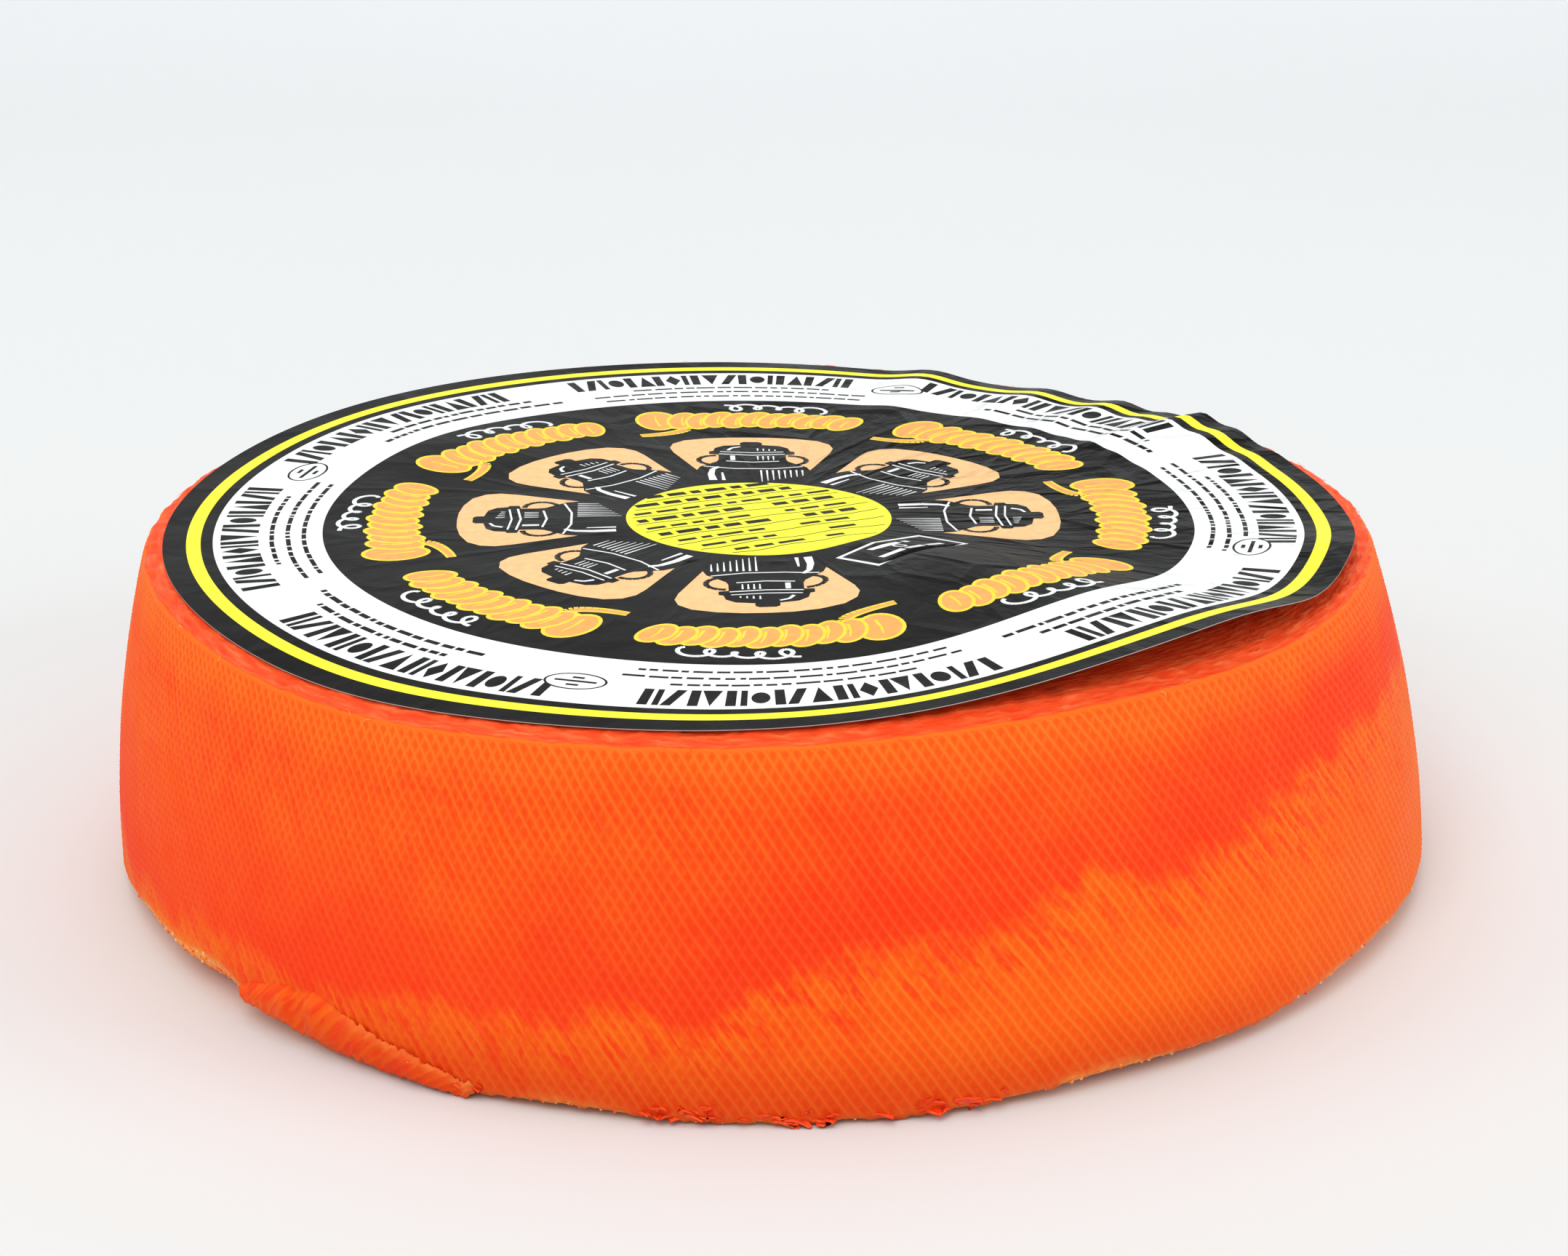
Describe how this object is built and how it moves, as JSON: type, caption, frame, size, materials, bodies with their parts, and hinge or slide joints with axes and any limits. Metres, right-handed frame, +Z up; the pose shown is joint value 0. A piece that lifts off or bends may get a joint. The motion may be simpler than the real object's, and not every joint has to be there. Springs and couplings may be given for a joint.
{
  "type": "cheese wheel",
  "caption": "Whole low round wheel of pressed cheese with an orange cloth-marked rind, slightly drawn in towards the top, with a round paper label on its top face.",
  "frame": {"origin": "centre of the wheel's footprint, on the surface that it stands on", "axes": "+Z up through the wheel, -Y towards the front, where the rind's folded lower edge is, +X to the right seen from the front, where the label's edge has curled up"},
  "size_m": [0.2043, 0.2046, 0.0589],
  "materials": {
    "rind": "dyed orange cheese rind with a fine diagonal cloth imprint, waxy with a soft sheen",
    "label_paper": "thin glossy paper printed in black, white, yellow, orange and peach"
  },
  "bodies": {
    "root": {"cheese_wheel": "rind", "paper_label": "label_paper"}
  },
  "joints": []
}
